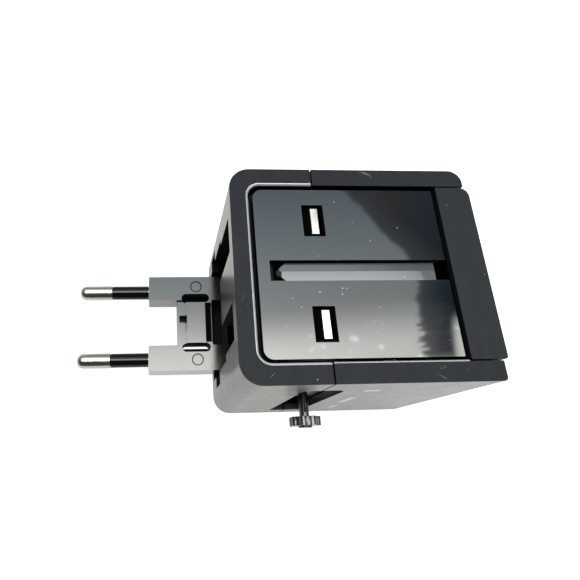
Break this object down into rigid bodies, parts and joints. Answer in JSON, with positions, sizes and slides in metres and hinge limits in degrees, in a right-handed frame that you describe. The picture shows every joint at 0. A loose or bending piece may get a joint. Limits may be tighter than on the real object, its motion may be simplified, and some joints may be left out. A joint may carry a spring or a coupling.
{
  "type": "universal travel adapter",
  "caption": "Boxy black travel adapter with a sliding British and American pin carriage, a folding earth pin, a fold-out European plug and a universal shuttered socket.",
  "frame": {"origin": "centre of the American plug face, which is the face the adapter lies on", "axes": "+Z out of the British plug face, -X towards the folded-out European plug, +X out of the universal socket, -Y out of the side with the selector knob"},
  "size_m": [0.0888, 0.0514, 0.0521],
  "materials": {
    "shell": "black moulded plastic, matte on the rims and polished on the sides",
    "panel": "piano-black polished plastic",
    "cap": "fine matte dark blue-grey plastic",
    "earth_pin": "satin dark grey plastic",
    "plug_plastic": "glossy black moulded plastic",
    "sleeve": "black insulating sleeve",
    "inner_plastic": "black moulded plastic",
    "nickel": "bright nickel plate",
    "brass": "stamped spring brass",
    "steel": "plain zinc-plated steel",
    "ceramic": "white fuse body with metal ends"
  },
  "bodies": {
    "case": {"left_shell": "shell", "right_shell": "shell", "uk_face_panel": "panel", "us_face_panel": "panel", "socket_cap": "cap", "live_socket_clip": "brass", "neutral_socket_clip": "brass", "divider": "inner_plastic", "live_rail": "brass", "neutral_rail": "brass", "fuse": "ceramic", "fuse_clip_1": "brass", "fuse_clip_2": "brass", "case_screw_1": "steel", "case_screw_2": "steel", "case_screw_3": "steel", "case_screw_4": "steel", "earth_pin_axle": "steel", "eu_hinge_axle": "steel", "eu_leaf_contact_1": "brass", "eu_leaf_contact_2": "brass"},
    "shutter": {"socket_shutter": "inner_plastic", "shutter_spring": "steel"},
    "earth_prong": {"earth_pin": "earth_pin"},
    "eu_plug": {"eu_carrier": "plug_plastic", "eu_pin_1": "nickel", "eu_pin_sleeve_1": "sleeve", "eu_heel_contact_1": "brass", "eu_pin_2": "nickel", "eu_pin_sleeve_2": "sleeve", "eu_heel_contact_2": "brass"},
    "pin_carriage": {"carriage": "inner_plastic", "blade_retainer": "inner_plastic", "uk_live_pin": "nickel", "uk_live_pin_sleeve": "sleeve", "live_link_strip": "brass", "uk_neutral_pin": "nickel", "uk_neutral_pin_sleeve": "sleeve", "neutral_link_strip": "brass", "knob_spring": "steel"},
    "blade_1": {"us_blade_1": "nickel", "blade_rotor_1": "inner_plastic"},
    "blade_2": {"us_blade_2": "nickel", "blade_rotor_2": "inner_plastic"},
    "knob": {"knob_stem": "plug_plastic", "knob_head": "plug_plastic"}
  },
  "joints": [
    {"name": "eu_plug_fold", "type": "hinge", "parent": "case", "child": "eu_plug", "pos_m": [-0.0222, 0, 0.0076], "axis": [0, 1, 0], "range_deg": [0, 90]},
    {"name": "earth_pin_fold", "type": "hinge", "parent": "case", "child": "earth_prong", "pos_m": [0.01233, 0, 0.04445], "axis": [0, 1, 0], "range_deg": [0, 90]},
    {"name": "carriage_slide", "type": "slide", "parent": "case", "child": "pin_carriage", "axis": [0, 0, 1], "range_m": [-0.016, 0.0174]},
    {"name": "knob_press", "type": "slide", "parent": "pin_carriage", "child": "knob", "axis": [0, 1, 0], "range_m": [0, 0.0014], "stiffness_N_per_m": 400, "springref_m": -0.001, "deforming": ["knob_spring"]},
    {"name": "blade_twist_1", "type": "hinge", "parent": "pin_carriage", "child": "blade_1", "pos_m": [-0.00815, 0.00635, 0], "axis": [0, 0, 1], "range_deg": [0, 30]},
    {"name": "blade_twist_2", "type": "hinge", "parent": "pin_carriage", "child": "blade_2", "pos_m": [-0.00815, -0.00635, 0], "axis": [0, 0, 1], "range_deg": [-30, 0]},
    {"name": "shutter_slide", "type": "slide", "parent": "case", "child": "shutter", "axis": [0, 0, 1], "range_m": [0, 0.0082], "stiffness_N_per_m": 60, "springref_m": -0.002, "deforming": ["shutter_spring"]}
  ],
  "couplings": [
    {"joint": "blade_twist_2", "follows": "blade_twist_1", "ratio": -1}
  ]
}
